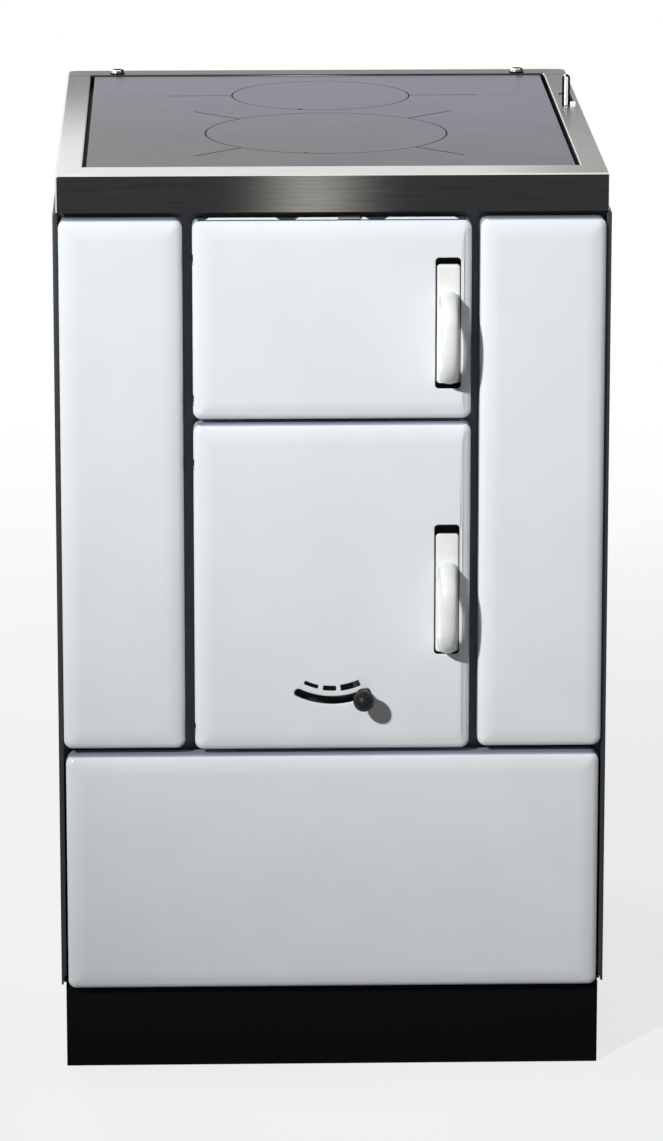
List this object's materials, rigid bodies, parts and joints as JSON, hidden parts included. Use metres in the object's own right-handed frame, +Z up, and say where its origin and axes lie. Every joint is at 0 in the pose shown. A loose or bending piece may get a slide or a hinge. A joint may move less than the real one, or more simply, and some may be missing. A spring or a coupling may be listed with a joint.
{
  "type": "wood cookstove",
  "caption": "Slim wood-fired cooking stove: steel hob with lift-out covers in a brushed rim, white enamelled fuel door, ash door with air lever, side panels and wood drawer on a black carcass.",
  "frame": {"origin": "middle of the bounding box's footprint, on the floor under the plinth", "axes": "+Z up, +X to the right of someone facing the doors, the front faces -Y and the flue collar leaves along +Y"},
  "size_m": [0.506, 0.69, 0.88],
  "materials": {
    "white_enamel": "gloss",
    "handle_cream": "gloss",
    "black_paint": "satin",
    "brushed_rim": "brushed",
    "hob_steel": "ground, satin",
    "bright_chrome": "polished",
    "plain_steel": "satin",
    "stove_sheet": "matt",
    "cast_iron": "cast",
    "firebrick": "rough",
    "rope_seal": "braided",
    "black_knob": "satin"
  },
  "bodies": {
    "stove_body": {"plinth": "black_paint", "base_plate": "black_paint", "left_side": "black_paint", "right_side": "black_paint", "rear_panel": "black_paint", "front_frame": "black_paint", "left_panel": "white_enamel", "right_panel": "white_enamel", "panel_clips": "black_paint", "latch_keepers": "black_paint", "hinge_brackets": "black_paint", "hinge_pins": "plain_steel", "top_rim": "brushed_rim", "rim_rear_strip": "brushed_rim", "rim_bolts": "bright_chrome", "lever_stop": "bright_chrome", "hob_plate": "hob_steel", "hob_support_frame": "stove_sheet", "hob_seal": "rope_seal", "inner_walls": "stove_sheet", "inner_rear_wall": "stove_sheet", "ash_floor": "stove_sheet", "firebrick_left": "firebrick", "firebrick_right": "firebrick", "firebrick_rear": "firebrick", "firebrick_front": "firebrick", "log_guard": "cast_iron", "grate_frame": "cast_iron", "ash_box": "plain_steel", "ash_box_bow": "plain_steel", "damper_frame": "stove_sheet", "damper_bushes": "plain_steel", "flue_collar": "cast_iron", "drawer_runners": "plain_steel"},
    "fuel_door": {"fuel_door_skin": "white_enamel", "fuel_door_inner": "cast_iron", "fuel_door_seal": "rope_seal"},
    "fuel_handle": {"fuel_handle_plate": "handle_cream", "fuel_handle_grip": "handle_cream", "fuel_latch_hook": "plain_steel"},
    "air_slide": {"secondary_air_slide": "plain_steel"},
    "ash_door": {"ash_door_skin": "white_enamel", "ash_door_inner": "cast_iron", "ash_door_seal": "rope_seal"},
    "ash_handle": {"ash_handle_plate": "handle_cream", "ash_handle_grip": "handle_cream", "ash_latch_hook": "plain_steel"},
    "air_control": {"air_lever": "plain_steel", "air_knob": "black_knob", "air_shutter": "plain_steel"},
    "damper": {"damper_shaft": "plain_steel", "damper_flap": "stove_sheet", "damper_lever": "bright_chrome"},
    "shaker": {"grate": "cast_iron", "grate_rod": "plain_steel"},
    "big_cover": {"big_cover": "hob_steel"},
    "small_cover": {"small_cover": "hob_steel"},
    "drawer": {"drawer_front": "white_enamel", "drawer_box": "plain_steel"}
  },
  "joints": [
    {"name": "fuel_door_hinge", "type": "hinge", "parent": "stove_body", "child": "fuel_door", "pos_m": [-0.113, -0.29, 0.7], "axis": [0, 0, -1], "range_deg": [0, 110]},
    {"name": "ash_door_hinge", "type": "hinge", "parent": "stove_body", "child": "ash_door", "pos_m": [-0.113, -0.29, 0.46], "axis": [0, 0, -1], "range_deg": [0, 110]},
    {"name": "fuel_handle_lift", "type": "slide", "parent": "fuel_door", "child": "fuel_handle", "axis": [0, 0, 1], "range_m": [0, 0.0055]},
    {"name": "ash_handle_lift", "type": "slide", "parent": "ash_door", "child": "ash_handle", "axis": [0, 0, 1], "range_m": [0, 0.007]},
    {"name": "secondary_air_slide", "type": "slide", "parent": "fuel_door", "child": "air_slide", "axis": [1, 0, 0], "range_m": [-0.034, 0.003]},
    {"name": "primary_air_lever", "type": "hinge", "parent": "ash_door", "child": "air_control", "pos_m": [0, -0.291, 0.431], "axis": [0, 1, 0], "range_deg": [-2.5, 48.5]},
    {"name": "damper_swing", "type": "hinge", "parent": "stove_body", "child": "damper", "pos_m": [0, 0.076, 0.742], "axis": [-1, 0, 0], "range_deg": [0, 30]},
    {"name": "grate_shake", "type": "slide", "parent": "stove_body", "child": "shaker", "axis": [0, 1, 0], "range_m": [0, 0.015]},
    {"name": "big_cover_lift", "type": "slide", "parent": "stove_body", "child": "big_cover", "axis": [0, 0, 1], "range_m": [0, 0.08]},
    {"name": "small_cover_lift", "type": "slide", "parent": "stove_body", "child": "small_cover", "axis": [0, 0, 1], "range_m": [0, 0.08]},
    {"name": "drawer_slide", "type": "slide", "parent": "stove_body", "child": "drawer", "axis": [0, -1, 0], "range_m": [0, 0.4]}
  ]
}
